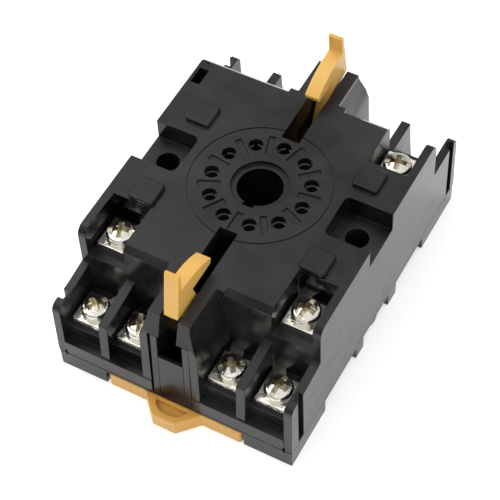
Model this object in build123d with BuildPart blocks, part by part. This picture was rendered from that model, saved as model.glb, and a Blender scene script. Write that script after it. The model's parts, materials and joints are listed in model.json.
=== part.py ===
from build123d import *
import os
from math import copysign, cos, radians, sin

# Round eleven-pin relay socket with screw terminals, for a 35 mm rail or two panel screws.
# X runs to the right, Y to the back and Z up. The origin is the centre of the pin circle,
# on the plane that the socket is screwed down to. All sizes are in millimetres.

os.makedirs("parts", exist_ok=True)

# Overall sizes
width = 49.8
front_reach = 35.7
back_reach = 34.4
top_z = 28.8
parting_z = 4.6
wall = 1.7
end_draft = 0.4

# Top face and the step down to the lower terminals
front_bay = 11.5
back_bay = 10.8
front_upper_bay = 10.2
back_upper_bay = 9.6
top_chamfer = 1.2
wall_corner_r = 2.0
shoulder_z = 19.3
shoulder_fall = 0.8
shoulder_run = 5.5
flange_corner_r = 1.6

# Terminal bays and the partitions between them
seat_z = 11.6
back_seat_z = 9.6
upper_seat_z = 21.7
ledge_z = 8.2
ledge_depth = 2.1
behind_front_washer = 2.1
behind_back_washer = 0.6
behind_upper_washer = 1.4
bay_difference = 0.55
partition_thickness = 1.9
front_partition_fall = 1.5
back_partition_fall = 0.3
partition_draft = 1.0

# Central slot for the latches, and the cheeks on both sides of it
slot_width = 3.6
slot_start_y = 12.95
cheek_top_x = 4.3
cheek_foot_x = 5.95
cheek_bevel_top = 1.5
cheek_bevel_foot = 7.0
cheek_end_top = 2.1
cheek_end_mid = 0.7
cheek_end_mid_drop = 5.0
chamber_y = 18.6
chamber_top_z = 23.5

# Vertical grooves in the outer walls
front_groove_from_end = 2.8
back_groove_from_end = 1.9
groove_width = 1.9
groove_depth = 1.15
groove_foot_z = 4.9

# Pins, key bore and the marks on the top face
pin_count = 11
pin_circle_r = 9.525
pin_hole_d = 2.8
key_bore_d = 8.7
key_rim_d = 11.0
key_rim_depth = 0.8
keyway_width = 2.0
keyway_reach = 5.5
disc_line_d = 27.5
disc_line_width = 0.25
disc_line_depth = 0.2
recess_length = 4.3
recess_width = 1.25
recess_depth = 0.4
pad_from_side = 7.25
pad_front_gap = 0.15
pad_back_gap = 1.4
pad_width = 5.2
pad_length = 5.4
pad_height = 0.9
pad_corner_r = 0.7
pad_edge_r = 0.4
window_from_side = 1.7
window_from_step = 5.25
window_width = 1.9
window_length = 3.9
window_depth = 8.0

# Small notches across the seam, near the front corners
notch_from_side = 1.7
notch_width = 0.4
notch_up = 1.1
notch_down = 0.8
notch_depth = 0.6

# Panel fixing
fixing_pitch = 40.0
fixing_hole_d = 4.4
fixing_boss_d = 8.4
pocket_reach = 4.5
pocket_half_length = 4.7
pocket_corner_r = 1.0
pocket_floor_z = 24.3

# Terminal screws, washers and plates
head_gap = 0.3
head_height = 2.3
head_edge_r = 0.7
shank_d = 3.4
shank_length = 6.2
cross_width = 1.0
cross_length = 3.6
cross_depth = 1.3
cross_turn = 20
washer_gap = 0.4
washer_thickness = 1.0
washer_hole_d = 3.9
washer_corner_r = 0.5
plate_gap = 0.25
plate_thickness = 0.8
plate_front = 3.2
plate_corner_r = 0.4
strip_width = 2.6
thread_play = 0.05
tip_play = 0.4

# Pin contacts
slit_reach = 1.15
sleeve_d = 3.8
sleeve_bore_d = 2.4
sleeve_slit = 0.6
sleeve_top_z = 27.2
sleeve_foot = 0.8
eye_d = 4.9
play = 0.1

# Latches, with heights above the top face
latch_width = 2.9
pivot_y = 23.8
pivot_z = 13.5
pivot_d = 2.4
pivot_play = 0.05
hub_r = 2.9
hub_width = 4.8
tip_y = 20.7
tip_height = 3.2
tip_thickness = 1.2
beak_crown_y = 24.4
beak_crown = 5.0
throat_y = 27.3
leg_y = 26.2
leg_depth = 3.2
leg_foot_half = 2.3
leg_foot_rise = 1.5
leg_top_drop = 1.2
heel_y = 33.0
heel_drop = 0.5
thumb_y = 31.4
thumb_height = 10.4
thumb_root_y = 30.8
thumb_root = 6.1
beak_root_y = 28.6
beak_root = 5.8
thumb_edge = 0.9

# Base, its tongues and the rail
base_inset = 0.1
rail_face_z = 3.2
rail_width = 35.0
rail_play = 0.1
hook_z = 1.9
hook_reach = 2.0
hook_lead = 1.2
foot_x = 14.7
front_foot_y = 22.1
side_pad_depth = 3.0
side_pads = ((-9.3, -6.1), (4.5, 8.1))
foot_corner_width = 2.9
foot_corner_length = 2.3
seam_height = 0.3
seam_depth = 0.35
tongue_half_width = 4.0
tongue_cheek = 1.4
tongue_plate_z = 16.5
tongue_cheek_z = 22.6
tongue_plate_depth = 1.5
tongue_before_pivot = 3.2
tongue_bevel = 3.0
tongue_draft = 1.0
tongue_play = 0.25

# Rail clip
clip_top_z = 3.6
clip_play = 0.1
clip_half_width = 14.25
clip_corner_r = 0.9
clip_travel = 4.0
tab_root_half = 6.0
tab_tip_half = 2.4
tab_length = 3.9
tab_recess_half = 3.3
tab_recess_reach = 2.2
tab_recess_depth = 1.4
tab_recess_start = 0.4
guide_height = 1.1
guide_depth = 1.0
guide_z = 1.5
guide_length = 7.5
clip_bar = 4.2
clip_jaw = 3.4
clip_side = 4.6

half_width = width / 2
inner_half = half_width - wall
slot_half = slot_width / 2
chamber_half = tongue_half_width + tongue_play
above = 1.0

# The bays between the walls, and what fits in them
inner_bay = (inner_half - cheek_foot_x - partition_thickness - bay_difference) / 2
partition_x = cheek_foot_x + inner_bay + partition_thickness / 2
screw_x = cheek_foot_x + inner_bay / 2
outer_screw_x = inner_half - (inner_bay + bay_difference) / 2
washer_side = inner_bay - 2 * washer_gap
plate_side = inner_bay - 2 * plate_gap
head_d = washer_side - head_gap

# The step at each end, and where the upper bays begin behind it
front_step_y = front_reach - front_bay
back_step_y = back_reach - back_bay
front_upper_y = front_step_y - front_upper_bay
back_upper_y = back_step_y - back_upper_bay

# Each end: its side of the Y axis, its reach from the pin circle, its step face, its partitions' fall
# and the distance from the end to the groove in the outer wall
ends = (
    (-1, front_reach, front_step_y, front_partition_fall, front_groove_from_end),
    (1, back_reach, back_step_y, back_partition_fall, back_groove_from_end),
)

# Each terminal: X and Y of its screw, the height of its seat and a bend in its conductor
front_row_y = -(front_step_y + behind_front_washer + washer_side / 2)
back_row_y = back_step_y + behind_back_washer + washer_side / 2
front_upper_row_y = -(front_upper_y + behind_upper_washer + washer_side / 2)
back_upper_row_y = back_upper_y + behind_upper_washer + washer_side / 2
terminals = (
    (-outer_screw_x, front_upper_row_y, upper_seat_z, None),
    (-outer_screw_x, front_row_y, seat_z, None),
    (-screw_x, front_row_y, seat_z, None),
    (screw_x, front_row_y, seat_z, None),
    (outer_screw_x, front_row_y, seat_z, None),
    (outer_screw_x, front_upper_row_y, upper_seat_z, None),
    (outer_screw_x, back_upper_row_y, upper_seat_z, None),
    (outer_screw_x, back_row_y, back_seat_z, None),
    (screw_x, back_row_y, back_seat_z, (screw_x - 3.5, pin_circle_r + 5.1)),
    (-screw_x, back_row_y, back_seat_z, None),
    (-outer_screw_x, back_row_y, back_seat_z, None),
)

# The pin that each terminal is wired to, in the same order round the circle
pin_step = 360 / pin_count
first_pin_angle = -90 - 2.5 * pin_step
pins = []
for number in range(pin_count):
    angle = radians(first_pin_angle + number * pin_step)
    pins.append((pin_circle_r * cos(angle), pin_circle_r * sin(angle)))


def conductor_route(terminal, pin):
    """Points of a conductor from its screw to its pin."""
    bend = terminal[3]
    start = (terminal[0], terminal[1])
    return [start, pin] if bend is None else [start, bend, pin]


# Upper housing

with BuildPart() as upper_housing:
    # The two outer walls, stepped at both ends
    for side in (-1, 1):
        with BuildSketch(Plane.YZ.offset(side * inner_half)) as wall_profile:
            with BuildLine():
                Polyline(
                    (-front_reach, parting_z),
                    (-front_reach + end_draft, shoulder_z - shoulder_fall),
                    (-front_step_y - shoulder_run, shoulder_z - shoulder_fall),
                    (-front_step_y, shoulder_z),
                    (-front_step_y, top_z),
                    (back_step_y, top_z),
                    (back_step_y, shoulder_z),
                    (back_reach - end_draft, shoulder_z),
                    (back_reach, parting_z),
                    close=True,
                )
            make_face()
            fillet(wall_profile.vertices().group_by(Axis.Y)[-1], radius=wall_corner_r)
            fillet(wall_profile.vertices().sort_by(Axis.X)[1], radius=flange_corner_r)
            fillet(wall_profile.vertices().sort_by(Axis.X)[-2], radius=flange_corner_r)
        extrude(amount=side * wall)

    # The core between the walls, with the seats of the lower terminals
    with BuildSketch(Plane.YZ) as core_profile:
        with BuildLine():
            Polyline(
                (-front_reach, parting_z),
                (-front_reach, ledge_z),
                (-front_reach + ledge_depth, ledge_z),
                (-front_reach + ledge_depth, seat_z),
                (-front_step_y, seat_z),
                (-front_step_y, top_z),
                (back_step_y, top_z),
                (back_step_y, back_seat_z),
                (back_reach - ledge_depth, back_seat_z),
                (back_reach - ledge_depth, ledge_z),
                (back_reach, ledge_z),
                (back_reach, parting_z),
                close=True,
            )
        make_face()
        chamfer(core_profile.vertices().group_by(Axis.Y)[-1], length=top_chamfer)
    extrude(amount=inner_half, both=True)

    for end, reach, step_y, partition_fall, groove_from_end in ends:
        for side in (-1, 1):
            # Partition between the two bays of one side
            with BuildSketch(Plane.YZ.offset(side * (partition_x - partition_thickness / 2))):
                with BuildLine():
                    Polyline(
                        (end * (step_y - above), parting_z),
                        (end * (step_y - above), shoulder_z),
                        (end * step_y, shoulder_z),
                        (end * (reach - partition_draft), shoulder_z - partition_fall),
                        (end * reach, parting_z),
                        close=True,
                    )
                make_face()
            extrude(amount=side * partition_thickness)

            # Cheek beside the latch slot, at the height of the top face
            with BuildSketch(Plane.YZ.offset(side * slot_half)):
                with BuildLine():
                    Polyline(
                        (end * (step_y - 2 * above), parting_z),
                        (end * (step_y - 2 * above), top_z),
                        (end * (reach - cheek_end_top), top_z),
                        (end * (reach - cheek_end_mid), top_z - cheek_end_mid_drop),
                        (end * reach, parting_z),
                        close=True,
                    )
                make_face()
            extrude(amount=side * (cheek_foot_x - slot_half))

            # The cheek's outer face leans out towards its foot
            with BuildSketch(Plane.XZ.offset(-end * step_y)):
                with BuildLine():
                    Polyline(
                        (side * cheek_top_x, top_z + above),
                        (side * cheek_top_x, top_z - cheek_bevel_top),
                        (side * cheek_foot_x, top_z - cheek_bevel_foot),
                        (side * (cheek_foot_x + above), top_z - cheek_bevel_foot),
                        (side * (cheek_foot_x + above), top_z + above),
                        close=True,
                    )
                make_face()
            extrude(amount=-end * (reach - step_y + above), mode=Mode.SUBTRACT)

            # Groove down the outer wall
            with BuildSketch(Plane.XY.offset(groove_foot_z)):
                with Locations((side * half_width, end * (reach - groove_from_end - groove_width / 2))):
                    Rectangle(2 * groove_depth, groove_width)
            extrude(amount=top_z, mode=Mode.SUBTRACT)

        # Slot for the latch, open at the end
        with BuildSketch(Plane.XY.offset(parting_z)):
            with Locations((0, end * (slot_start_y + reach) / 2)):
                Rectangle(slot_width, reach - slot_start_y + 2 * above)
        extrude(amount=top_z, mode=Mode.SUBTRACT)
        with BuildSketch(Plane.XY.offset(parting_z)):
            with Locations((0, end * (chamber_y + reach + above) / 2)):
                Rectangle(2 * chamber_half, reach + above - chamber_y)
        extrude(amount=chamber_top_z - parting_z, mode=Mode.SUBTRACT)

    # Notches at the front corners
    notch_x = half_width - notch_from_side
    with BuildSketch(Plane.XY.offset(parting_z)):
        with Locations((-notch_x, -front_reach), (notch_x, -front_reach)):
            Rectangle(notch_width, 2 * notch_depth)
    extrude(amount=notch_up, mode=Mode.SUBTRACT)

    # Bays of the three upper terminals
    bay_inner_x = partition_x + partition_thickness / 2
    for x, y, seat, bend in terminals:
        if seat == upper_seat_z:
            bay_from = back_upper_y if y > 0 else front_upper_y
            bay_to = above + (back_step_y if y > 0 else front_step_y)
            bay_x = copysign((bay_inner_x + inner_half) / 2, x)
            bay_y = copysign((bay_from + bay_to) / 2, y)
            with BuildSketch(Plane.XY.offset(upper_seat_z)):
                with Locations((bay_x, bay_y)):
                    Rectangle(inner_half - bay_inner_x, bay_to - bay_from)
            extrude(amount=top_z, mode=Mode.SUBTRACT)

    # Clearance under each screw
    for x, y, seat, bend in terminals:
        with BuildSketch(Plane.XY.offset(seat)):
            with Locations((x, y)):
                Circle(shank_d / 2 + 3 * play)
        extrude(amount=-(shank_length - plate_thickness - washer_thickness + tip_play), mode=Mode.SUBTRACT)

    # Open-sided pockets for the panel screws
    pocket_x = fixing_pitch / 2 - pocket_reach
    for side in (-1, 1):
        with BuildSketch(Plane.XY.offset(pocket_floor_z)):
            with Locations((side * (pocket_x + half_width + above) / 2, 0)):
                RectangleRounded(half_width + above - pocket_x, 2 * pocket_half_length, pocket_corner_r)
        extrude(amount=top_z, mode=Mode.SUBTRACT)
    with BuildSketch(Plane.XY.offset(parting_z)):
        with GridLocations(fixing_pitch, 0, 2, 1):
            Circle(fixing_hole_d / 2)
    extrude(amount=top_z, mode=Mode.SUBTRACT)

    # Raised pads on the top face
    pad_x = half_width - pad_from_side
    pad_front_y = -(front_upper_y - pad_front_gap - pad_length / 2)
    pad_back_y = back_upper_y - pad_back_gap - pad_length / 2
    with BuildSketch(Plane.XY.offset(top_z)):
        with Locations(
            (-pad_x, pad_front_y),
            (pad_x, pad_front_y),
            (-pad_x, pad_back_y),
            (pad_x, pad_back_y),
        ):
            RectangleRounded(pad_width, pad_length, pad_corner_r)
    extrude(amount=pad_height)
    fillet(upper_housing.faces().group_by(Axis.Z)[-1].edges(), radius=pad_edge_r)

    # Small window near the back left corner
    with BuildSketch(Plane.XY.offset(top_z)):
        with Locations((window_from_side - half_width, back_step_y - window_from_step)):
            Rectangle(window_width, window_length)
    extrude(amount=-window_depth, mode=Mode.SUBTRACT)

    # Line round the pin field and a shallow recess between each two pins
    with BuildSketch(Plane.XY.offset(top_z)):
        Circle(disc_line_d / 2)
        Circle(disc_line_d / 2 - disc_line_width, mode=Mode.SUBTRACT)
    extrude(amount=-disc_line_depth, mode=Mode.SUBTRACT)
    with BuildSketch(Plane.XY.offset(top_z)):
        with PolarLocations(pin_circle_r, pin_count, start_angle=-90):
            Rectangle(recess_length, recess_width)
    extrude(amount=-recess_depth, mode=Mode.SUBTRACT)

    # Key bore with its rim and keyway
    with BuildSketch(Plane.XY.offset(top_z)):
        Circle(key_rim_d / 2)
    extrude(amount=-key_rim_depth, mode=Mode.SUBTRACT)
    with BuildSketch(Plane.XY.offset(parting_z)):
        Circle(key_bore_d / 2)
        with Locations((0, -keyway_reach / 2)):
            Rectangle(keyway_width, keyway_reach)
    extrude(amount=top_z, mode=Mode.SUBTRACT)

    # Pin holes, with a socket for each contact below them
    with BuildSketch(Plane.XY.offset(sleeve_top_z)):
        with Locations(*pins):
            Circle(pin_hole_d / 2)
    extrude(amount=top_z, mode=Mode.SUBTRACT)
    for terminal, pin in zip(terminals, pins):
        foot_z = min(terminal[2], seat_z) - sleeve_foot
        with BuildSketch(Plane.XY.offset(foot_z)):
            with Locations(pin):
                Circle(sleeve_d / 2 + play)
        extrude(amount=sleeve_top_z - foot_z, mode=Mode.SUBTRACT)
        route = conductor_route(terminal, pin)
        with BuildSketch(Plane.XY.offset(terminal[2])):
            with BuildLine():
                Polyline(*route)
            trace(line_width=strip_width + 2 * play)
            with Locations(pin):
                Circle(eye_d / 2 + play)
        extrude(amount=plate_thickness, mode=Mode.SUBTRACT)
upper_housing.part.label = "upper_housing"
export_step(upper_housing.part, "parts/upper_housing.step")

# Lower base

with BuildPart() as lower_base:
    # The floor plate above the rail
    with BuildSketch(Plane.XY.offset(rail_face_z)):
        with Locations((0, (back_reach - front_reach) / 2)):
            Rectangle(width - 2 * base_inset, front_reach + back_reach - 2 * base_inset)
    extrude(amount=parting_z - rail_face_z)

    # Seam round the edge of the floor plate, under the upper housing
    with BuildSketch(Plane.XY.offset(parting_z - seam_height)):
        with Locations((0, (back_reach - front_reach) / 2)):
            Rectangle(width + above, front_reach + back_reach + above)
            Rectangle(
                width - 2 * (base_inset + seam_depth),
                front_reach + back_reach - 2 * (base_inset + seam_depth),
                mode=Mode.SUBTRACT,
            )
    extrude(amount=seam_height, mode=Mode.SUBTRACT)

    # The back foot, with the fixed hook that goes under the rail's flange
    hook_y = rail_width / 2 + rail_play
    with BuildSketch(Plane.YZ):
        with BuildLine():
            Polyline(
                (hook_y, rail_face_z),
                (hook_y, hook_z),
                (hook_y - hook_reach, hook_z),
                (hook_y - hook_reach, hook_lead),
                (hook_y - hook_reach + hook_lead, 0),
                (back_reach - base_inset, 0),
                (back_reach - base_inset, rail_face_z),
                close=True,
            )
        make_face()
    extrude(amount=half_width - base_inset, both=True)
    with BuildSketch(Plane.XY):
        with GridLocations(width - 2 * base_inset, 0, 2, 1):
            with Locations((0, hook_y)):
                Rectangle(2 * foot_corner_width, 2 * foot_corner_length)
    extrude(amount=rail_face_z, mode=Mode.SUBTRACT)

    # The two front feet, with a groove in each for the clip
    foot_width = half_width - base_inset - foot_x
    foot_length = front_reach - base_inset - front_foot_y
    for side in (-1, 1):
        with BuildSketch(Plane.XY):
            with Locations((side * (foot_x + foot_width / 2), -front_foot_y - foot_length / 2)):
                Rectangle(foot_width, foot_length)
        extrude(amount=rail_face_z)
        with BuildSketch(Plane.XY.offset(guide_z - play)):
            with Locations((side * foot_x, -front_foot_y)):
                Rectangle(2 * (guide_depth + play), 2 * (guide_length + clip_travel + play))
        extrude(amount=guide_height + 2 * play, mode=Mode.SUBTRACT)

    # Notches that meet those of the upper housing
    with BuildSketch(Plane.XY.offset(parting_z)):
        with Locations((-notch_x, -front_reach), (notch_x, -front_reach)):
            Rectangle(notch_width, 2 * notch_depth)
    extrude(amount=-notch_down, mode=Mode.SUBTRACT)

    # Low pads along both sides, which stand in the trough of the rail
    for y_from, y_to in side_pads:
        with BuildSketch(Plane.XY):
            for side in (-1, 1):
                with Locations((side * (half_width - base_inset - side_pad_depth / 2), (y_from + y_to) / 2)):
                    Rectangle(side_pad_depth, y_to - y_from)
        extrude(amount=rail_face_z)

    # Bosses that carry the panel screws down to the mounting plane
    with BuildSketch(Plane.XY):
        with GridLocations(fixing_pitch, 0, 2, 1):
            Circle(fixing_boss_d / 2)
    extrude(amount=rail_face_z)
    with BuildSketch(Plane.XY):
        with GridLocations(fixing_pitch, 0, 2, 1):
            Circle(fixing_hole_d / 2)
    extrude(amount=parting_z, mode=Mode.SUBTRACT)

    # Relief above the clip
    with BuildSketch(Plane.XY):
        with Locations((0, -(front_reach + hook_y) / 2)):
            Rectangle(2 * (foot_x - play), front_reach - hook_y + 2 * play)
    extrude(amount=clip_top_z + clip_play, mode=Mode.SUBTRACT)

    # A tongue at each end closes the latch slot and carries the latch's pivot
    tongue_start = pivot_y - tongue_before_pivot
    for end, reach, step_y, partition_fall, groove_from_end in ends:
        tongue_end = reach - base_inset
        for side in (-1, 1):
            with BuildSketch(Plane.YZ.offset(side * (tongue_half_width - tongue_cheek))):
                with BuildLine():
                    Polyline(
                        (end * tongue_start, parting_z),
                        (end * tongue_start, tongue_cheek_z - tongue_bevel),
                        (end * (tongue_start + tongue_bevel), tongue_cheek_z),
                        (end * (tongue_end - tongue_draft), tongue_cheek_z),
                        (end * tongue_end, parting_z),
                        close=True,
                    )
                make_face()
            extrude(amount=side * tongue_cheek)
        with BuildSketch(Plane.YZ):
            with BuildLine():
                Polyline(
                    (end * tongue_end, parting_z),
                    (end * (tongue_end - tongue_draft * tongue_plate_z / tongue_cheek_z), tongue_plate_z),
                    (end * (tongue_end - tongue_plate_depth), tongue_plate_z),
                    (end * (tongue_end - tongue_plate_depth), parting_z),
                    close=True,
                )
            make_face()
        extrude(amount=tongue_half_width, both=True)
        with BuildSketch(Plane.YZ):
            with Locations((end * pivot_y, pivot_z)):
                Circle(pivot_d / 2 + pivot_play)
        extrude(amount=tongue_half_width, both=True, mode=Mode.SUBTRACT)
lower_base.part.label = "lower_base"
export_step(lower_base.part, "parts/lower_base.step")

# Latches

for name, end in (("front_latch", -1), ("back_latch", 1)):
    with BuildPart() as latch:
        with BuildSketch(Plane.YZ) as latch_profile:
            with BuildLine():
                outline = Polyline(
                    (end * tip_y, top_z + tip_height),
                    (end * (tip_y + 0.3 * tip_thickness), top_z + tip_height - tip_thickness),
                    (end * throat_y, top_z + tip_height - tip_thickness),
                    (end * leg_y, top_z - leg_top_drop),
                    (end * (pivot_y - leg_foot_half), pivot_z + leg_foot_rise),
                    (end * (pivot_y + leg_foot_half), pivot_z + leg_foot_rise),
                    (end * (leg_y + leg_depth), top_z - leg_top_drop),
                    (end * heel_y, top_z - heel_drop),
                    (end * thumb_y, top_z + thumb_height - thumb_edge / 2),
                    (end * (thumb_y - thumb_edge / 2), top_z + thumb_height),
                    (end * (thumb_y - thumb_edge), top_z + thumb_height - thumb_edge / 2),
                    (end * thumb_root_y, top_z + thumb_root),
                    (end * beak_root_y, top_z + beak_root),
                )
                ThreePointArc(outline @ 1, (end * beak_crown_y, top_z + beak_crown), outline @ 0)
            make_face()
            with Locations((end * pivot_y, pivot_z)):
                Circle(hub_r)
        extrude(amount=latch_width / 2, both=True)
        with BuildSketch(Plane.YZ):
            with Locations((end * pivot_y, pivot_z)):
                Circle(hub_r)
        extrude(amount=hub_width / 2, both=True)
        with BuildSketch(Plane.YZ):
            with Locations((end * pivot_y, pivot_z)):
                Circle(pivot_d / 2)
        extrude(amount=tongue_half_width - play, both=True)
    latch.part.label = name
    export_step(latch.part, f"parts/{name}.step")

# Rail clip

clip_front_y = -front_reach
clip_back_y = -hook_y
with BuildPart() as din_clip:
    with BuildSketch(Plane.XY.offset(clip_play)):
        with Locations((0, (clip_front_y + clip_back_y) / 2)):
            Rectangle(2 * clip_half_width, clip_back_y - clip_front_y)
        with BuildLine():
            Polyline(
                (-tab_root_half, clip_front_y),
                (-tab_tip_half, clip_front_y - tab_length),
                (tab_tip_half, clip_front_y - tab_length),
                (tab_root_half, clip_front_y),
                close=True,
            )
        make_face()
    extrude(amount=clip_top_z - clip_play)
    bar_edges = din_clip.edges().filter_by(Axis.Z).sort_by(Axis.X)
    fillet([bar_edges.group_by(Axis.X)[0].sort_by(Axis.Y)[0]], radius=clip_corner_r)
    bar_edges = din_clip.edges().filter_by(Axis.Z)
    fillet([bar_edges.group_by(Axis.X)[-1].sort_by(Axis.Y)[0]], radius=clip_corner_r)

    # Jaw that goes under the rail's flange
    with BuildSketch(Plane.YZ):
        with BuildLine():
            Polyline(
                (clip_back_y, hook_z),
                (clip_back_y + hook_reach, hook_z),
                (clip_back_y + hook_reach, hook_lead),
                (clip_back_y + hook_reach - hook_lead + clip_play, clip_play),
                (clip_back_y, clip_play),
                close=True,
            )
        make_face()
    extrude(amount=clip_half_width - clip_side / 2, both=True)

    # Open window between the bar and the jaw
    with BuildSketch(Plane.XY):
        with Locations((0, (clip_front_y + clip_bar + clip_back_y - clip_jaw) / 2)):
            Rectangle(2 * (clip_half_width - clip_side), clip_back_y - clip_jaw - clip_front_y - clip_bar)
    extrude(amount=clip_top_z, mode=Mode.SUBTRACT)

    # Guides that run in the grooves of the front feet
    with BuildSketch(Plane.XY.offset(guide_z)):
        with Locations((0, -front_foot_y - guide_length / 2)):
            Rectangle(2 * (foot_x + guide_depth), guide_length)
            Rectangle(2 * (clip_half_width - play), guide_length, mode=Mode.SUBTRACT)
    extrude(amount=guide_height)

    # Thumb and screwdriver recess in the top of the tab
    with BuildSketch(Plane.XY.offset(clip_top_z)):
        with Locations((0, clip_front_y - tab_recess_start)):
            Ellipse(tab_recess_half, tab_recess_reach)
            with Locations((0, tab_recess_reach)):
                Rectangle(2 * tab_recess_half, 2 * tab_recess_reach, mode=Mode.SUBTRACT)
    extrude(amount=-tab_recess_depth, mode=Mode.SUBTRACT)
din_clip.part.label = "din_clip"
export_step(din_clip.part, "parts/din_clip.step")

# Terminals

for number, (terminal, pin) in enumerate(zip(terminals, pins), start=1):
    x, y, seat, bend = terminal
    end = 1 if y > 0 else -1
    plate_top = seat + plate_thickness
    washer_top = plate_top + washer_thickness
    head_top = washer_top + head_height

    # Terminal plate and its conductor, one stamping
    with BuildPart() as plate:
        with BuildSketch(Plane.XY.offset(seat)) as plate_outline:
            with Locations((x, y)):
                RectangleRounded(plate_side, 2 * plate_front, plate_corner_r)
            with BuildLine():
                Polyline(*conductor_route(terminal, pin))
            trace(line_width=strip_width)
            with Locations(pin):
                Circle(eye_d / 2)
                Circle(sleeve_d / 2 + thread_play, mode=Mode.SUBTRACT)
            with Locations((x, y)):
                Circle(shank_d / 2 + thread_play, mode=Mode.SUBTRACT)
        extrude(amount=plate_thickness)
    plate.part.label = f"plate_{number:02d}"
    export_step(plate.part, f"parts/plate_{number:02d}.step")

    # Square captive washer
    with BuildPart() as washer:
        with BuildSketch(Plane.XY.offset(plate_top)):
            with Locations((x, y)):
                RectangleRounded(washer_side, washer_side, washer_corner_r)
                Circle(washer_hole_d / 2, mode=Mode.SUBTRACT)
        extrude(amount=washer_thickness)
    washer.part.label = f"washer_{number:02d}"
    export_step(washer.part, f"parts/washer_{number:02d}.step")

    # Screw with a rounded head and a cross recess
    with BuildPart() as screw:
        with BuildSketch(Plane.XY.offset(washer_top)):
            with Locations((x, y)):
                Circle(head_d / 2)
        extrude(amount=head_height)
        fillet(screw.faces().sort_by(Axis.Z)[-1].edges(), radius=head_edge_r)
        with BuildSketch(Plane.XY.offset(washer_top)):
            with Locations((x, y)):
                Circle(shank_d / 2)
        extrude(amount=-shank_length)
        with BuildSketch(Plane.XY.offset(head_top)):
            with Locations((x, y)):
                Rectangle(cross_length, cross_width, rotation=cross_turn)
                Rectangle(cross_width, cross_length, rotation=cross_turn)
        extrude(amount=-cross_depth, mode=Mode.SUBTRACT)
    screw.part.label = f"screw_{number:02d}"
    export_step(screw.part, f"parts/screw_{number:02d}.step")

    # Split sleeve that grips one pin of the relay
    with BuildPart() as contact:
        foot_z = min(seat, seat_z) - sleeve_foot
        with BuildSketch(Plane.XY.offset(foot_z)):
            with Locations(pin):
                Circle(sleeve_d / 2)
                Circle(sleeve_bore_d / 2, mode=Mode.SUBTRACT)
        extrude(amount=sleeve_top_z - foot_z)
        slit_z = max(seat, seat_z) + plate_thickness + play
        with BuildSketch(Plane.XY.offset(slit_z)):
            with Locations((pin[0] * slit_reach, pin[1] * slit_reach)):
                Rectangle(sleeve_d, sleeve_slit, rotation=first_pin_angle + (number - 1) * pin_step)
        extrude(amount=sleeve_top_z, mode=Mode.SUBTRACT)
    contact.part.label = f"contact_{number:02d}"
    export_step(contact.part, f"parts/contact_{number:02d}.step")
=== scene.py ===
import json
import math

import bmesh
import bpy
from bpy.props import FloatProperty, FloatVectorProperty, PointerProperty
from mathutils import Matrix, Vector


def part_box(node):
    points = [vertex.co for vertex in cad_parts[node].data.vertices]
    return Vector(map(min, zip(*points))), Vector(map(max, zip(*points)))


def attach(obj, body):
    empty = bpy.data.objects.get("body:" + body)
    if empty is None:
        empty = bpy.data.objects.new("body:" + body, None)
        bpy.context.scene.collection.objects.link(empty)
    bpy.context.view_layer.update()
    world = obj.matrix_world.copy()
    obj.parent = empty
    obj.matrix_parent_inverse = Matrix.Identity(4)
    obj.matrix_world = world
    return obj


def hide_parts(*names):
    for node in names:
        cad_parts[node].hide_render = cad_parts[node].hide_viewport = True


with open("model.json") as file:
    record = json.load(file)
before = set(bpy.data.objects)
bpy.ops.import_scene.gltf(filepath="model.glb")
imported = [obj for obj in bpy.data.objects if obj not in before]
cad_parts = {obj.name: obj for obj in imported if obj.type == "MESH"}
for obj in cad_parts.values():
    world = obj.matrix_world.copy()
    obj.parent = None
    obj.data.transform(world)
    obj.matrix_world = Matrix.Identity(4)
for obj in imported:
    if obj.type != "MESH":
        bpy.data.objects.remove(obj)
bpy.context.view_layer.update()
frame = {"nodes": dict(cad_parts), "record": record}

bl_info = {
    "name": "Relay Socket Finish",
    "version": (1, 0, 0),
    "blender": (4, 5, 0),
    "location": "3D View > Sidebar > Relay Socket",
    "description": "Dresses a round relay socket: moulded plastic, latches, rail clip and plated terminals",
    "category": "Object",
}

MM = 0.001
NODES = frame["nodes"]
BODIES = frame["record"]["behaviour"]["bodies"]
BODY_OF = {node: body for body, group in BODIES.items() for node in group}
TERMINALS = sorted(name[-2:] for name in NODES if name.startswith("screw_"))

# How a length and a colour show in the panel
LENGTH = {"subtype": "DISTANCE", "unit": "LENGTH", "precision": 5}
COLOUR = {"size": 3, "subtype": "COLOR", "min": 0, "max": 1}


# Settings that a user would change

class MouldingSettings(bpy.types.PropertyGroup):
    """Edges and colours of the moulded pieces."""

    edge_width: FloatProperty(
        name="Edge Width", description="Width of the rounding on moulded edges",
        default=0.12 * MM, min=0.01 * MM, **LENGTH)
    black: FloatVectorProperty(
        name="Black Plastic", description="Colour of the housing and the base",
        default=(0.0075, 0.0075, 0.0078), **COLOUR)
    latch: FloatVectorProperty(
        name="Latch Plastic", description="Colour of the two retaining latches",
        default=(0.76, 0.45, 0.112), **COLOUR)
    clip: FloatVectorProperty(
        name="Clip Plastic", description="Colour of the rail clip",
        default=(0.71, 0.393, 0.088), **COLOUR)
    grain: FloatProperty(
        name="Grain", description="Size of one grain of the spark-eroded texture",
        default=0.16 * MM, min=0.02 * MM, **LENGTH)


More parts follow.
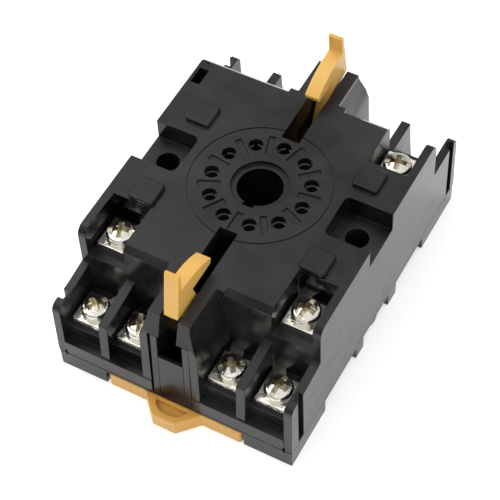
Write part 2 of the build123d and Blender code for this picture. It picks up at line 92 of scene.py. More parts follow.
class ScrewSettings(bpy.types.PropertyGroup):
    """Sizes of a terminal screw that the solids leave out."""

    head: FloatProperty(
        name="Head Diameter", description="Diameter of the head across its side",
        default=5.5 * MM, min=3 * MM, **LENGTH)
    crown: FloatProperty(
        name="Crown", description="Rise of the head's top towards its middle",
        default=0.55 * MM, min=0, **LENGTH)
    edge: FloatProperty(
        name="Head Edge", description="Radius between the head's top and its side",
        default=0.6 * MM, min=0.05 * MM, **LENGTH)
    slot: FloatProperty(
        name="Slot Width", description="Width of the slot across the head",
        default=0.95 * MM, min=0.1 * MM, **LENGTH)
    slot_depth: FloatProperty(
        name="Slot Depth", description="Depth of the slot across the head",
        default=0.7 * MM, min=0.1 * MM, **LENGTH)
    wing: FloatProperty(
        name="Cross Wing", description="Width of one wing of the cross recess at the top",
        default=1.05 * MM, min=0.1 * MM, **LENGTH)
    reach: FloatProperty(
        name="Cross Reach", description="Length of the cross recess from end to end at the top",
        default=3.9 * MM, min=0.5 * MM, **LENGTH)
    depth: FloatProperty(
        name="Cross Depth", description="Depth of the cross recess in the middle",
        default=1.9 * MM, min=0.2 * MM, **LENGTH)
    shank: FloatProperty(
        name="Shank Diameter", description="Diameter of the shank over its thread",
        default=3.4 * MM, min=1 * MM, **LENGTH)
    pitch: FloatProperty(
        name="Pitch", description="Rise of the thread in one turn",
        default=0.6 * MM, min=0.2 * MM, **LENGTH)
    thread: FloatProperty(
        name="Thread Depth", description="Depth of the thread, cut into the shank",
        default=0.3 * MM, min=0.05 * MM, **LENGTH)
    plating: FloatVectorProperty(
        name="Plating", description="Colour of the nickel plating",
        default=(0.72, 0.69, 0.62), **COLOUR)
    # Painted shade with a painted yellowish reflection: the plating inside the slot and the cross gets a
    # darker, warmer colour than the head
    recess: FloatVectorProperty(
        name="Recess Shade", description="Colour of the plating inside the slot and the cross",
        default=(0.56, 0.51, 0.39), **COLOUR)


class StageSettings(bpy.types.PropertyGroup):
    """Camera, lights and floor."""

    azimuth: FloatProperty(
        name="Azimuth", description="How far the camera stands round to the right of the front",
        default=math.radians(31.25), subtype="ANGLE", unit="ROTATION")
    elevation: FloatProperty(
        name="Elevation", description="How far the camera looks down",
        default=math.radians(53.67), subtype="ANGLE", unit="ROTATION")
    roll: FloatProperty(
        name="Roll", description="Turn of the camera about its own line of sight",
        default=math.radians(-3.43), subtype="ANGLE", unit="ROTATION")
    distance: FloatProperty(
        name="Distance", description="From the camera to the point it looks at",
        default=314 * MM, min=50 * MM, **LENGTH)
    target: FloatVectorProperty(
        name="Target", description="The point that the camera looks at",
        default=(2.73 * MM, -9.47 * MM, 21.5 * MM), size=3, subtype="TRANSLATION", unit="LENGTH")
    lens: FloatProperty(
        name="Lens", description="Focal length of the camera on a 36 mm sensor", default=122.6, min=10)
    sky: FloatProperty(
        name="Sky", description="Strength of the even light from all round", default=1.0, min=0)
    horizon: FloatProperty(
        name="Horizon", description="How bright the sky looks at eye level in glossy faces",
        default=0.22, min=0)
    key: FloatProperty(
        name="Key Light", description="Power of the large soft lamp in watts", default=1.2, min=0)
    floor_glow: FloatProperty(
        name="Floor Glow", description="How bright the white floor looks in glossy faces",
        default=0.45, min=0)
    floor_size: FloatProperty(
        name="Floor Size", description="Side of the square floor", default=3.0, min=0.2, **LENGTH)


# Nodes, and formulas written with them

class Value:
    """A number that a node puts out. Each sign in a formula written with it adds a Math node."""

    def __init__(self, socket):
        self.socket = socket

    def __add__(self, other):
        return maths("ADD", self, other)

    def __sub__(self, other):
        return maths("SUBTRACT", self, other)

    def __rsub__(self, other):
        return maths("SUBTRACT", other, self)

    def __mul__(self, other):
        return maths("MULTIPLY", self, other)

    def __truediv__(self, other):
        return maths("DIVIDE", self, other)

    def __rtruediv__(self, other):
        return maths("DIVIDE", other, self)


def maths(operation, *values):
    """A Math node on values and plain numbers, as a value."""
    tree = next(value.socket.id_data for value in values if isinstance(value, Value))
    made = node(tree, "ShaderNodeMath", dict(enumerate(values)), operation=operation)
    return Value(made.outputs[0])


def clamped(value):
    """The same value, kept between nought and one."""
    value.socket.node.use_clamp = True
    return value


def feed(target, source):
    """Link a value, an output or a node's first output to an input, or set the input to what is given."""
    if isinstance(source, Value):
        source = source.socket
    if isinstance(source, bpy.types.Node):
        source = source.outputs[0]
    if isinstance(source, bpy.types.NodeSocket):
        target.id_data.links.new(source, target)
    else:
        target.default_value = source


def node(tree, kind, feeds=None, **values):
    """A node with its properties set and its inputs fed, by name or by number."""
    made = tree.nodes.new(kind)
    for key, value in values.items():
        setattr(made, key, value)
    for key, source in (feeds or {}).items():
        feed(made.inputs[key], source)
    return made


def vector(tree, x, y, z):
    """Three values or numbers as one vector."""
    return node(tree, "ShaderNodeCombineXYZ", {"X": x, "Y": y, "Z": z})


def add_inputs(tree, labels):
    """Give a tree its named number inputs, as (values by name, identifiers by name)."""
    names = {}
    for label in labels:
        socket = tree.interface.new_socket(label, in_out="INPUT", socket_type="NodeSocketFloat")
        names[label] = socket.identifier
    given = tree.nodes.new("NodeGroupInput").outputs
    return {label: Value(given[label]) for label in labels}, names


# Shader node groups, built once and shared

# A face whose normal rises above this is level, and has the spark-eroded texture
LEVEL_FROM = 0.85
# How finely each pattern is laid, in cells to a metre
FLOW_SCALE = 160.0
SMUDGE_SCALE = 55.0
SCRATCH_SCALE = 5200.0
FILM_SCALE = 420.0
# How far the flow marks and the smudges change the roughness, from least to most
FLOW_EFFECT = 0.24
SMUDGE_EFFECT = 0.3
# How much each adds to the tone, a painted sheen of soft lighter and darker blotches in the base colour, and
# what comes off so that only the strongest show
SMUDGE_SHEEN_TONE = 2.6
FLOW_SHEEN_TONE = 1.8
SHEEN_TONE_BASE = 1.7
# How high the texture stands on a wall, as a share of its height on a level face
WALL_RELIEF = 0.25
# Scratches run far longer than they are wide, at an angle across the piece
SCRATCH_SQUEEZE = (1.0, 0.09, 1.0)
SCRATCH_ANGLE = math.radians(24)


def new_group(name, inputs, outputs):
    """A shader group with its sockets, as (tree, input values by name, output node's sockets)."""
    tree = bpy.data.node_groups.new(name, "ShaderNodeTree")
    for label in outputs:
        tree.interface.new_socket(label, in_out="OUTPUT", socket_type="NodeSocketFloat")
    given, _ = add_inputs(tree, inputs)
    return tree, given, tree.nodes.new("NodeGroupOutput").inputs


def noise(place, scale, detail, roughness):
    """A noise pattern, as a value."""
    made = node(place.id_data, "ShaderNodeTexNoise", {
        "Vector": place, "Scale": scale, "Detail": detail, "Roughness": roughness})
    return Value(made.outputs["Fac"])


def moulded_grain(name):
    """Spark-eroded texture on level faces, polished walls, faint flow marks and smudges, and a tone from the
    smudge and flow patterns that paints a mottled sheen into the colour.
    """
    tree, given, out = new_group(
        name, ("Grain Size", "Level Roughness", "Wall Roughness"), ("Roughness", "Height", "Smudge And Sheen"))
    place = node(tree, "ShaderNodeTexCoord").outputs
    facing = node(tree, "ShaderNodeSeparateXYZ", {0: place["Normal"]}).outputs
    level = maths("GREATER_THAN", Value(facing["Z"]), LEVEL_FROM)
    fine = noise(place["Object"], 1.0 / given["Grain Size"], detail=3.0, roughness=0.65)
    flow_and_sheen = noise(place["Object"], FLOW_SCALE, detail=4.0, roughness=0.6)
    smudge_and_sheen = noise(place["Object"], SMUDGE_SCALE, detail=3.0, roughness=0.5)
    spread = given["Level Roughness"] - given["Wall Roughness"]
    rough = maths("MULTIPLY_ADD", level, spread, given["Wall Roughness"])
    drift = maths("MULTIPLY_ADD", flow_and_sheen, FLOW_EFFECT, -FLOW_EFFECT / 2)
    fleck = maths("MULTIPLY_ADD", smudge_and_sheen, SMUDGE_EFFECT, -SMUDGE_EFFECT / 2)
    feed(out["Roughness"], clamped(rough + drift + fleck))
    feed(out["Height"], fine * maths("MULTIPLY_ADD", level, 1 - WALL_RELIEF, WALL_RELIEF))
    # Painted sheen: the smudge and flow patterns make the base colour lighter and darker in soft blotches
    feed(out["Smudge And Sheen"], clamped(smudge_and_sheen * SMUDGE_SHEEN_TONE + flow_and_sheen * FLOW_SHEEN_TONE - SHEEN_TONE_BASE))
    return tree


def handling_marks(name):
    """Hair-fine scratches and a soft film, for plated metal."""
    tree, given, out = new_group(name, ("Base Roughness", "Marks"), ("Roughness", "Height", "Film"))
    place = node(tree, "ShaderNodeTexCoord").outputs["Object"]
    squeezed = node(tree, "ShaderNodeMapping", {
        "Vector": place, "Scale": SCRATCH_SQUEEZE, "Rotation": (0.0, 0.0, SCRATCH_ANGLE)})
    lines = noise(squeezed.outputs[0], SCRATCH_SCALE, detail=2.0, roughness=0.7)
    film = noise(place, FILM_SCALE, detail=4.0, roughness=0.6)
    feed(out["Roughness"], clamped((lines + film) * given["Marks"] + given["Base Roughness"]))
    feed(out["Height"], lines)
    feed(out["Film"], film)
    return tree


def shared(name, maker):
    """The shader group of that name, built the first time it is asked for."""
    return bpy.data.node_groups.get(name) or maker(name)


# Materials

PLASTIC_SPECULAR = 0.34
GRAIN_HEIGHT = 0.02 * MM
# How strongly the texture shows in the black plastic, and in the softer yellow ones
GRAIN_STRENGTH = 0.35
SOFT_STRENGTH = 0.15
# How far light of each colour goes into the yellow plastics, in shares of the depth
GLOW_COLOURS = (2.0, 1.0, 0.3)
GLOW_DEPTH = 1.0 * MM
SCRATCH_HEIGHT = 0.004 * MM
SCRATCH_STRENGTH = 0.25
# Brightness of the washers and plates, and of the tinned contacts, in shares of the screws' plating
POLISHED = 1.25
TINNED = 0.4


def new_material(name):
    """An empty material, as (material, tree, the principled shader's inputs)."""
    made = bpy.data.materials.new(name)
    made.use_nodes = True
    return made, made.node_tree, made.node_tree.nodes["Principled BSDF"].inputs


def material_once(name, maker, *values, **named):
    """The material of that name, made the first time it is asked for."""
    return bpy.data.materials.get(name) or maker(name, *values, **named)


def add_bump(tree, shader, height, distance, strength):
    feed(shader["Normal"], node(tree, "ShaderNodeBump", {
        "Height": height, "Distance": distance, "Strength": strength}))


def tint(tree, shader, colour, factor, low, high):
    """Vary the base colour between two shares of a colour by a factor."""
    mix = node(tree, "ShaderNodeMix", {
        "Factor": factor,
        "A": (*[part * low for part in colour], 1),
        "B": (*[min(1.0, part * high) for part in colour], 1),
    }, data_type="RGBA")
    feed(shader["Base Color"], mix.outputs["Result"])


def plastic(name, colour, grain, level, wall, glow=0.0, tones=(0.96, 1.04), strength=GRAIN_STRENGTH):
    """Moulded plastic with its roughness on level faces and on walls."""
    made, tree, shader = new_material(name)
    texture = node(tree, "ShaderNodeGroup", {
        "Grain Size": grain, "Level Roughness": level, "Wall Roughness": wall,
    }, node_tree=shared("Moulded Grain", moulded_grain)).outputs
    feed(shader["Specular IOR Level"], PLASTIC_SPECULAR)
    feed(shader["Roughness"], texture["Roughness"])
    add_bump(tree, shader, texture["Height"], GRAIN_HEIGHT, strength)
    # The tone paints a mottled sheen into the base colour
    tint(tree, shader, colour, texture["Smudge And Sheen"], *tones)
    if glow:
        feed(shader["Subsurface Weight"], glow)
        feed(shader["Subsurface Radius"], GLOW_COLOURS)
        feed(shader["Subsurface Scale"], GLOW_DEPTH)
    return made


def plated(name, colour, roughness, marks, dents=0.0, tones=(0.86, 1.1)):
    """Bright plated metal, with soft dents where it is cold-headed."""
    made, tree, shader = new_material(name)
    wear = node(tree, "ShaderNodeGroup", {
        "Base Roughness": roughness, "Marks": marks,
    }, node_tree=shared("Handling Marks", handling_marks)).outputs
    feed(shader["Metallic"], 1.0)
    feed(shader["Roughness"], wear["Roughness"])
    height = maths("MULTIPLY_ADD", Value(wear["Film"]), dents, Value(wear["Height"]))
    add_bump(tree, shader, height, SCRATCH_HEIGHT, SCRATCH_STRENGTH)
    tint(tree, shader, colour, wear["Film"], *tones)
    return made


# Pieces made from the solids

# Rounding of each kind of piece, in shares of the housing's
EDGE_SHARES = {
    "housing": 1.0, "base": 1.0, "latch": 1.4, "clip": 1.6, "washer": 0.9, "plate": 0.6, "contact": 0.6}
# Points of the solids' triangles closer than this are one point
MERGE_WITHIN = 0.001 * MM
# Triangles that bend less than this at their shared edge are one flat face
FLAT_WITHIN = math.radians(0.6)
# An edge that bends more than this is rounded, if both its faces reach this many widths from it
ROUND_FROM = math.radians(28)
ROOM_IN_WIDTHS = 2.2
# A face with more corners than this may have holes in it, and is cut up before the rounding
MOST_CORNERS = 16
# The layer in which the Bevel modifier keeps which faces it left alone
FACE_WEIGHT = "__mod_weightednormals_faceweight"
# Faces lie in one plane where the cosine between their normals is above this
ONE_PLANE = 0.99999
# Faces round a corner that turn less than this from one another shade as one
SHADE_WITHIN = math.radians(46)
# Stands for the square of an edge's length where the edge has none
LEAST_SQUARE = 1e-18


def room_beside(edge, face):
    """From the middle of a face's edge, the distance to the nearest edge of that face not touching it."""
    middle = (edge.verts[0].co + edge.verts[1].co) / 2
    nearest = math.inf
    for other in face.edges:
        if set(other.verts) & set(edge.verts):
            continue
        start, end = (vert.co - middle for vert in other.verts)
        along = end - start
        share = max(0.0, min(1.0, -start.dot(along) / max(along.length_squared, LEAST_SQUARE)))
        nearest = min(nearest, (start + share * along).length)
    return nearest


def prepare_edges(mesh, width):
    """Join a solid's triangles into whole faces, and mark the sharp edges that have room to be round."""
    edit = bmesh.new()
    edit.from_mesh(mesh)
    bmesh.ops.remove_doubles(edit, verts=edit.verts, dist=MERGE_WITHIN)
    bmesh.ops.dissolve_limit(edit, angle_limit=FLAT_WITHIN, verts=edit.verts, edges=edit.edges)
    weight = edit.edges.layers.float.new("bevel_weight_edge")
    for edge in edit.edges:
        if not edge.is_manifold or edge.calc_face_angle(0) < ROUND_FROM:
            continue
        if all(room_beside(edge, face) > ROOM_IN_WIDTHS * width for face in edge.link_faces):
            edge[weight] = 1.0
    pierced = [face for face in edit.faces if len(face.verts) > MOST_CORNERS]
    bmesh.ops.triangulate(edit, faces=pierced)
    edit.to_mesh(mesh)
    edit.free()


def flat_groups(faces, weight):
    """Lists of the neighbouring faces that the bevel left alone and that lie in one plane."""
    seen = set()
    groups = []
    for start in faces:
        if start in seen or start[weight] <= 0:
            continue
        group = [start]
        seen.add(start)
        for face in group:
            for other in (near for edge in face.edges for near in edge.link_faces):
                if other in seen or other[weight] <= 0:
                    continue
                if abs(other.normal.dot(start.normal)) > ONE_PLANE:
                    seen.add(other)
                    group.append(other)
        groups.append(group)
    return groups


def cut_anew(edit, group, weight):
    """Replace flat faces by triangles that fill their outline, if each side of it has a neighbour."""
    inside = set(group)
    facing = sum((face.normal * face.calc_area() for face in group), Vector()).normalized()
    strength = group[0][weight]
    outline = [edge for face in group for edge in face.edges
               if sum(near in inside for near in edge.link_faces) == 1]
    if any(len(edge.link_faces) < 2 for edge in outline):
        return
    bmesh.ops.delete(edit, geom=group, context="FACES")
    made = bmesh.ops.triangle_fill(edit, use_beauty=True, use_dissolve=False, edges=outline, normal=facing)
    for face in (item for item in made["geom"] if isinstance(item, bmesh.types.BMFace)):
        face[weight] = strength
        face.normal_update()
        if face.normal.dot(facing) < 0:
            face.normal_flip()


def take_out_folds(mesh):
    """Cut the flat faces anew, because the rounding folds slivers over one another.

    The mesh stays as it was if that would leave a gap in it.
    """
    if FACE_WEIGHT not in mesh.attributes:
        return
    edit = bmesh.new()
    edit.from_mesh(mesh)
    weight = edit.faces.layers.int[FACE_WEIGHT]
    for group in flat_groups(edit.faces, weight):
        if len(group) > 1 or len(group[0].verts) > 4:
            cut_anew(edit, group, weight)
    if all(edge.is_manifold for edge in edit.edges):
        edit.to_mesh(mesh)
    edit.free()


def even_normals(mesh):
    """Make flat faces shade flat right up to their rounded edges, and curved ones stay smooth."""
    weights = mesh.attributes.get(FACE_WEIGHT)
    strength = [entry.value for entry in weights.data] if weights else [1] * len(mesh.polygons)
    facing = [face.normal.copy() for face in mesh.polygons]
    spread = [face.normal * face.area for face in mesh.polygons]
    around = [[] for _ in mesh.vertices]
    for face in mesh.polygons:
        for vert in face.vertices:
            around[vert].append(face.index)
    closest = math.cos(SHADE_WITHIN)
    normals = []
    for face in mesh.polygons:
        for vert in face.vertices:
            near = [other for other in around[vert] if facing[other].dot(facing[face.index]) > closest]
            main = [other for other in near if strength[other] > 0] or near
            total = sum((spread[other] for other in main), Vector())
            normals.append(total.normalized() if total.length else facing[face.index])
    mesh.normals_split_custom_set(normals)


def finished_mesh(piece):
    """The plain mesh that an object's modifiers give. The modifiers are taken off."""
    bpy.context.view_layer.update()
    mesh = bpy.data.meshes.new_from_object(piece.evaluated_get(bpy.context.evaluated_depsgraph_get()))
    if not mesh.polygons:
        raise RuntimeError(f"{piece.name} came out empty")
    piece.modifiers.clear()
    piece.data = mesh
    mesh.name = piece.name
    return mesh


def softened(source, name, edge_width, material, slot, segments=2):
    """A copy of a solid with its sharp edges rounded, which stands for the solid."""
    width = EDGE_SHARES[slot] * edge_width
    made = bpy.data.objects.new(name, NODES[source].data.copy())
    made.data.name = name
    bpy.context.scene.collection.objects.link(made)
    prepare_edges(made.data, width)
    rounding = made.modifiers.new("Rounding", "BEVEL")
    rounding.width = width
    rounding.segments = segments
    rounding.limit_method = "WEIGHT"
    rounding.use_clamp_overlap = False
    rounding.loop_slide = False
    rounding.miter_outer = "MITER_ARC"
    rounding.face_strength_mode = "FSTR_ALL"
    mesh = finished_mesh(made)
    mesh.materials.clear()
    mesh.materials.append(material)
    take_out_folds(mesh)
    mesh.shade_smooth()
    even_normals(mesh)
    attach(made, BODY_OF[source])
    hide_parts(source)


class DressMouldings(bpy.types.Operator):
    """Round the edges of the housing and the base and give them their plastic"""

    bl_idname = "relay.dress_mouldings"
    bl_label = "Dress Mouldings"

    def execute(self, context):
        values = context.scene.relay_moulding
        # The wide tone range paints the mottled sheen of the black top into its colour
        black = material_once(
            "black_plastic", plastic, values.black, values.grain, level=0.42, wall=0.2, tones=(0.35, 2.5))
        softened("upper_housing", "housing_shell", values.edge_width, black, "housing")
        softened("lower_base", "base_shell", values.edge_width, black, "base")
        return {"FINISHED"}


class DressLatches(bpy.types.Operator):
    """Round the edges of the two latches and give them their plastic"""

    bl_idname = "relay.dress_latches"
    bl_label = "Dress Latches"

    def execute(self, context):
        values = context.scene.relay_moulding
        yellow = material_once(
            "latch_plastic", plastic, values.latch, values.grain,
            level=0.33, wall=0.3, glow=0.25, strength=SOFT_STRENGTH)
        for source in ("front_latch", "back_latch"):
            softened(source, f"{source}_shell", values.edge_width, yellow, "latch", segments=3)
        return {"FINISHED"}


class DressClip(bpy.types.Operator):
    """Round the edges of the rail clip and give it its plastic"""

    bl_idname = "relay.dress_clip"
    bl_label = "Dress Rail Clip"

    def execute(self, context):
        values = context.scene.relay_moulding
        orange = material_once(
            "clip_plastic", plastic, values.clip, values.grain,
            level=0.3, wall=0.28, glow=0.3, strength=SOFT_STRENGTH)
        softened("din_clip", "din_clip_shell", values.edge_width, orange, "clip", segments=3)
        return {"FINISHED"}


class DressTerminals(bpy.types.Operator):
    """Round the edges of the washers, plates and contacts and give them their plating"""

    bl_idname = "relay.dress_terminals"
    bl_label = "Dress Terminals"

    def execute(self, context):
        width = context.scene.relay_moulding.edge_width
        colour = context.scene.relay_screw.plating
        polished = tuple(min(1.0, POLISHED * part) for part in colour)
        tinned = tuple(TINNED * part for part in colour)
        bright = material_once("washer_plating", plated, polished, roughness=0.07, marks=0.06, dents=120.0)
        smooth = material_once("plate_plating", plated, polished, roughness=0.12, marks=0.1)
        tin = material_once("contact_tin", plated, tinned, roughness=0.3, marks=0.12)
        for number in TERMINALS:
            softened(f"washer_{number}", f"washer_{number}_shell", width, bright, "washer")
            softened(f"plate_{number}", f"plate_{number}_shell", width, smooth, "plate")
            softened(f"contact_{number}", f"contact_{number}_shell", width, tin, "contact")
        return {"FINISHED"}


# Terminal screws, by geometry nodes

# Inputs of the tree that makes a screw
SCREW_SIZES = (
    "Head Diameter", "Head Height", "Crown", "Edge", "Slot Width", "Slot Depth", "Cross Wing", "Cross Reach",
    "Cross Depth", "Shank Diameter", "Shank Length", "Pitch", "Thread Depth", "Turn")
# How far each screw's slot is turned from the X axis, in degrees
SCREW_TURNS = (20, 62, 115, 40, 83, 83, 12, 140, 75, 30, 100)
# Points of a turned surface closer than this are one point, as at its poles and its seam
SEAM_WITHIN = 0.002 * MM
# Lengths of the cutters in shares of what they cut, past which they stand
SLOT_PAST_HEAD = 1.4
WING_PAST_REACH = 1.2
# Heights of the cutters in shares of what they cut. Their middles lie on the head's top
SLOT_HEIGHT = 2.0
WING_HEIGHT = 2.2
# Each end of the shank closes, flat, over one part in this many of the way along it
SHANK_PARTS = 60
# Edges of a finished screw that bend more than this shade sharp
SCREW_SHARP_FROM = math.radians(35)


def block(tree, x, y, z, height):
    """A box of those three sides with its middle at that height on the Z axis."""
    cube = node(tree, "GeometryNodeMeshCube", {"Size": vector(tree, x, y, z)})
    return node(tree, "GeometryNodeTransform", {
        "Geometry": cube, "Translation": vector(tree, 0.0, 0.0, height)})


def turned_surface(tree, radius_of, height_of, rings, steps):
    """A closed surface of revolution from a grid: radius and height are formulas of its two parameters."""
    grid = node(tree, "GeometryNodeMeshGrid", {
        "Size X": 1.0, "Size Y": 1.0, "Vertices X": steps + 1, "Vertices Y": rings})
    place = node(tree, "ShaderNodeSeparateXYZ", {0: node(tree, "GeometryNodeInputPosition")}).outputs
    around = (Value(place["X"]) + 0.5) * (2 * math.pi)
    along = Value(place["Y"]) + 0.5
    radius = radius_of(along, around)
    x = radius * maths("COSINE", around)
    y = radius * maths("SINE", around)
    shape = node(tree, "GeometryNodeSetPosition", {
        "Geometry": grid, "Position": vector(tree, x, y, height_of(along, around))})
    return node(tree, "GeometryNodeMergeByDistance", {"Geometry": shape, "Distance": SEAM_WITHIN})


def screw_head(tree, size):
    """The head: flat underside, straight side, rounded edge and crowned top.

    The first sixth of the way along is the underside and the next the side. Edge and crown take a third each.
    """
    half = size["Head Diameter"] * 0.5

    def radius(along, around):
        side = clamped(along * 6.0) * half
        bend = clamped(along * 3.0 - 1.0) * (math.pi / 2)
        back = (1.0 - maths("COSINE", bend)) * size["Edge"]
        inward = clamped(along * 3.0 - 2.0) * (half - size["Edge"])
        return side - back - inward

    def height(along, around):
        side = clamped(along * 6.0 - 1.0) * (size["Head Height"] - size["Edge"] - size["Crown"])
        bend = clamped(along * 3.0 - 1.0) * (math.pi / 2)
        edge = maths("SINE", bend) * size["Edge"]
        inward = clamped(along * 3.0 - 2.0) * (math.pi / 2)
        return side + edge + maths("SINE", inward) * size["Crown"]

    return turned_surface(tree, radius, height, rings=37, steps=72)


def screw_cutters(tree, size):
    """What cuts the driver's openings: a slot right across, and a cross of wings that taper downwards."""
    top = size["Head Height"]
    across = size["Head Diameter"] * SLOT_PAST_HEAD
    slot = block(tree, across, size["Slot Width"], size["Slot Depth"] * SLOT_HEIGHT, top)
    point = node(tree, "GeometryNodeMeshCone", {
        "Vertices": 4, "Fill Segments": 1, "Depth": size["Cross Depth"],
        "Radius Top": size["Cross Reach"] * (0.5 * math.sqrt(2)),
        "Radius Bottom": size["Cross Reach"] * (0.25 * math.sqrt(2))})
    taper = node(tree, "GeometryNodeTransform", {
        "Geometry": point, "Rotation": (0, 0, math.pi / 4),
        "Translation": vector(tree, 0.0, 0.0, top - size["Cross Depth"])})
    wings = node(tree, "GeometryNodeMeshBoolean", operation="UNION", solver="EXACT")
    length = size["Cross Reach"] * WING_PAST_REACH
    height = size["Cross Depth"] * WING_HEIGHT
    for x, y in ((length, size["Cross Wing"]), (size["Cross Wing"], length)):
        feed(wings.inputs["Mesh 2"], block(tree, x, y, height, top))
    cross = node(tree, "GeometryNodeMeshBoolean", operation="INTERSECT", solver="EXACT")
    feed(cross.inputs["Mesh 2"], wings)
    feed(cross.inputs["Mesh 2"], taper)
    return slot, cross


def screw_shank(tree, size):
    """The shank, with a thread that follows the angle and the length and with closed ends."""
    half = size["Shank Diameter"] * 0.5

    def radius(along, around):
        phase = along * size["Shank Length"] / size["Pitch"] + around / (2 * math.pi)
        groove = maths("PINGPONG", phase, 0.5) * 2.0 * size["Thread Depth"]
        ends = clamped(along * SHANK_PARTS) * clamped((1.0 - along) * SHANK_PARTS)
        return (half - groove) * ends

    def height(along, around):
        inner = clamped((along - 1 / SHANK_PARTS) * (SHANK_PARTS / (SHANK_PARTS - 2)))
        return inner * (size["Shank Length"] * -1.0)

    shank = turned_surface(tree, radius, height, rings=121, steps=32)
    return node(tree, "GeometryNodeFlipFaces", {"Mesh": shank})


def screw_tree(metal, inside):
    """The tree that makes a screw with its seat on the origin, as (tree, identifiers by name)."""
    tree = bpy.data.node_groups.new("Terminal Screw", "GeometryNodeTree")
    tree.interface.new_socket("Geometry", in_out="OUTPUT", socket_type="NodeSocketGeometry")
    size, names = add_inputs(tree, SCREW_SIZES)
    head = node(tree, "GeometryNodeMeshBoolean", operation="DIFFERENCE", solver="EXACT")
    feed(head.inputs["Mesh 1"], screw_head(tree, size))
    for cutter in screw_cutters(tree, size):
        lining = node(tree, "GeometryNodeSetMaterial", {"Geometry": cutter, "Material": inside})
        feed(head.inputs["Mesh 2"], lining)
    joined = node(tree, "GeometryNodeJoinGeometry")
    for part in (screw_shank(tree, size), head):
        feed(joined.inputs["Geometry"], part)
    turned = node(tree, "GeometryNodeTransform", {
        "Geometry": joined, "Rotation": vector(tree, 0.0, 0.0, size["Turn"])})
    real = node(tree, "GeometryNodeRealizeInstances", {"Geometry": turned})
    lined = node(tree, "GeometryNodeMaterialSelection", {"Material": inside})
    bare = node(tree, "FunctionNodeBooleanMath", {0: lined}, operation="NOT")
    painted = node(tree, "GeometryNodeSetMaterial", {
        "Geometry": real, "Selection": bare, "Material": metal})
    feed(tree.nodes.new("NodeGroupOutput").inputs["Geometry"], painted)
    return tree, names


class MakeScrews(bpy.types.Operator):
    """Make the terminal screws with their crowned heads, recesses and threads"""

    bl_idname = "relay.make_screws"
    bl_label = "Make Screws"

    def execute(self, context):
        values = context.scene.relay_screw
        metal = material_once(
            "screw_plating", plated, values.plating, roughness=0.1, marks=0.08, dents=300.0)
        # Painted shade and a painted yellowish reflection in the slot and the cross
        inside = material_once(
            "recess_plating", plated, values.recess, roughness=0.14, marks=0.1, dents=150.0)
        tree, names = screw_tree(metal, inside)
        for number, degrees in zip(TERMINALS, SCREW_TURNS, strict=True):
            low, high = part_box(f"screw_{number}")
            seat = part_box(f"washer_{number}")[1].z
            name = f"screw_{number}_detail"
            piece = bpy.data.objects.new(name, bpy.data.meshes.new(name))
            context.scene.collection.objects.link(piece)
            maker = piece.modifiers.new("Screw", "NODES")
            maker.node_group = tree
            sizes = {
                "Head Diameter": min(values.head, high.x - low.x),
                "Head Height": high.z - seat,
                "Crown": values.crown,
                "Edge": values.edge,
                "Slot Width": values.slot,
                "Slot Depth": values.slot_depth,
                "Cross Wing": values.wing,
                "Cross Reach": values.reach,
                "Cross Depth": values.depth,
                "Shank Diameter": values.shank,
                "Shank Length": seat - low.z,
                "Pitch": values.pitch,
                "Thread Depth": values.thread,
                "Turn": math.radians(degrees),
            }
            for label in SCREW_SIZES:
                maker[names[label]] = float(sizes[label])
            mesh = finished_mesh(piece)
            centre = Vector(((low.x + high.x) / 2, (low.y + high.y) / 2, seat))
            mesh.transform(Matrix.Translation(centre))
            mesh.shade_smooth()
            mesh.set_sharp_from_angle(angle=SCREW_SHARP_FROM)
            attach(piece, BODY_OF[f"screw_{number}"])
            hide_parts(f"screw_{number}")
        return {"FINISHED"}


# Stage

PAPER = (0.9, 0.9, 0.9, 1)
PAPER_ROUGHNESS = 0.9
WHITE = (1, 1, 1, 1)
# How much the paper shines by itself where the camera sees it
PAPER_GLOW = 0.45
# Brightness overhead in glossy faces
ZENITH = 1.1
# Brightness of the even light at eye level and overhead
SOFT_LOW = 0.75
SOFT_HIGH = 1.0
# The camera's sensor, in millimetres
SENSOR_WIDTH = 36
# Each lamp's name, place in metres, side in metres and share of the key light's power
LAMPS = (
    ("key_lamp", (-0.35, 0.10, 0.55), 0.35, 1.0),
    ("fill_lamp", (0.45, -0.45, 0.35), 0.5, 0.35),
)
LAMPS_AIM = Vector((0, 0, 0.015))


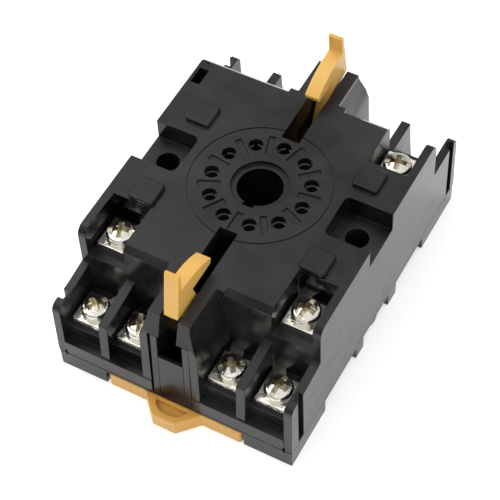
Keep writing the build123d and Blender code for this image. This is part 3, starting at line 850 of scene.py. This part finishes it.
class SetStage(bpy.types.Operator):
    """Set the floor, the sky, the lamps and the camera"""

    bl_idname = "relay.set_stage"
    bl_label = "Set Stage"

    def execute(self, context):
        values = context.scene.relay_stage
        self.add_floor(context, values)
        self.set_sky(context, values)
        self.add_lamps(context, values)
        self.add_camera(context, values)
        context.scene.view_settings.view_transform = "Standard"
        return {"FINISHED"}

    def add_floor(self, context, values):
        half = values.floor_size / 2
        mesh = bpy.data.meshes.new("floor")
        mesh.from_pydata(
            [(-half, -half, 0), (half, -half, 0), (half, half, 0), (-half, half, 0)], [], [(0, 1, 2, 3)])
        floor = bpy.data.objects.new("floor", mesh)
        context.scene.collection.objects.link(floor)
        paper, tree, shader = new_material("floor_paper")
        path = node(tree, "ShaderNodeLightPath").outputs
        seen = maths("MAXIMUM", Value(path["Is Camera Ray"]), Value(path["Is Transmission Ray"]))
        mirrored = Value(path["Is Glossy Ray"]) * values.floor_glow
        feed(shader["Base Color"], PAPER)
        feed(shader["Roughness"], PAPER_ROUGHNESS)
        feed(shader["Specular IOR Level"], 0.0)
        feed(shader["Emission Color"], WHITE)
        feed(shader["Emission Strength"], seen * PAPER_GLOW + mirrored)
        mesh.materials.append(paper)

    def set_sky(self, context, values):
        world = bpy.data.worlds.new("studio_sky")
        context.scene.world = world
        world.use_nodes = True
        tree = world.node_tree
        path = node(tree, "ShaderNodeLightPath").outputs
        place = node(tree, "ShaderNodeTexCoord").outputs["Generated"]
        rise = node(tree, "ShaderNodeSeparateXYZ", {0: place}).outputs["Z"]
        dusk = node(tree, "ShaderNodeMapRange", {"Value": rise, "To Min": values.horizon, "To Max": ZENITH})
        soft = node(tree, "ShaderNodeMapRange", {"Value": rise, "To Min": SOFT_LOW, "To Max": SOFT_HIGH})
        tone = node(tree, "ShaderNodeMix", {"Factor": path["Is Glossy Ray"], "A": soft, "B": dusk})
        light = tree.nodes["Background"]
        feed(light.inputs["Strength"], values.sky)
        feed(light.inputs["Color"], tone.outputs["Result"])
        white = node(tree, "ShaderNodeBackground", {"Color": WHITE, "Strength": 1.0})
        mix = node(tree, "ShaderNodeMixShader", {0: path["Is Camera Ray"], 1: light, 2: white})
        feed(tree.nodes["World Output"].inputs["Surface"], mix)

    def add_lamps(self, context, values):
        for name, place, side, share in LAMPS:
            data = bpy.data.lights.new(name, "AREA")
            data.size = side
            data.energy = share * values.key
            lamp = bpy.data.objects.new(name, data)
            lamp.location = place
            lamp.rotation_euler = (LAMPS_AIM - Vector(place)).to_track_quat("-Z", "Y").to_euler()
            context.scene.collection.objects.link(lamp)

    def add_camera(self, context, values):
        across = Vector((math.cos(values.azimuth), math.sin(values.azimuth), 0))
        level = Vector((-math.sin(values.azimuth), math.cos(values.azimuth), 0))
        ahead = math.cos(values.elevation) * level - Vector((0, 0, math.sin(values.elevation)))
        upward = across.cross(ahead)
        right = math.cos(values.roll) * across + math.sin(values.roll) * upward
        top = math.cos(values.roll) * upward - math.sin(values.roll) * across
        data = bpy.data.cameras.new("photo_camera")
        data.lens = values.lens
        data.sensor_width = SENSOR_WIDTH
        data.clip_start = 10 * MM
        camera = bpy.data.objects.new("photo_camera", data)
        place = Vector(values.target) - values.distance * ahead
        turn = Matrix((right, top, -ahead)).transposed().to_4x4()
        camera.matrix_world = Matrix.Translation(place) @ turn
        context.scene.collection.objects.link(camera)
        context.scene.camera = camera


# Panel and classes

OPERATORS = (DressMouldings, DressLatches, DressClip, DressTerminals, MakeScrews, SetStage)


class RelaySocketPanel(bpy.types.Panel):
    """Steps that dress the relay socket"""

    bl_idname = "VIEW3D_PT_relay_socket"
    bl_label = "Relay Socket"
    bl_space_type = "VIEW_3D"
    bl_region_type = "UI"
    bl_category = "Relay Socket"

    def draw(self, context):
        layout = self.layout
        for group in ("relay_moulding", "relay_screw", "relay_stage"):
            box = layout.box()
            values = getattr(context.scene, group)
            for key in values.__annotations__:
                box.prop(values, key)
        for operator in OPERATORS:
            layout.operator(operator.bl_idname)


CLASSES = (MouldingSettings, ScrewSettings, StageSettings, *OPERATORS, RelaySocketPanel)


def register():
    for item in CLASSES:
        bpy.utils.register_class(item)
    bpy.types.Scene.relay_moulding = PointerProperty(type=MouldingSettings)
    bpy.types.Scene.relay_screw = PointerProperty(type=ScrewSettings)
    bpy.types.Scene.relay_stage = PointerProperty(type=StageSettings)


def unregister():
    del bpy.types.Scene.relay_stage
    del bpy.types.Scene.relay_screw
    del bpy.types.Scene.relay_moulding
    for item in reversed(CLASSES):
        bpy.utils.unregister_class(item)


def main():
    register()
    for operator in OPERATORS:
        area, action = operator.bl_idname.split(".")
        getattr(getattr(bpy.ops, area), action)()
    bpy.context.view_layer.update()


if __name__ == "__main__":
    main()
